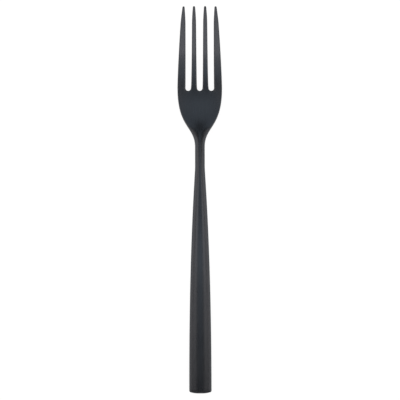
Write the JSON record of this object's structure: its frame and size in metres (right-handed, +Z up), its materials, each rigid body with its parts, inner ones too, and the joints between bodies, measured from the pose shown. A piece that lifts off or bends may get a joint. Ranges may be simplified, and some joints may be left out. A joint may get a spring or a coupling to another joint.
{
  "type": "dessert fork",
  "caption": "Slim dessert fork in satin black steel, with a dished head and tapering tines on a hollow, crowned handle that widens to a blunt butt end.",
  "frame": {"origin": "on the table, under the middle of the fork as it lies tines up", "axes": "+Y along the fork towards the tines, +X across it, +Z up off the table"},
  "size_m": [0.0214, 0.185, 0.0173],
  "materials": {
    "black_steel": "satin",
    "cast_resin": "matte"
  },
  "bodies": {
    "root": {"fork_head": "black_steel", "handle_front_shell": "black_steel", "handle_back_shell": "black_steel", "handle_end_cap": "black_steel", "tang_filler": "cast_resin"}
  },
  "joints": []
}
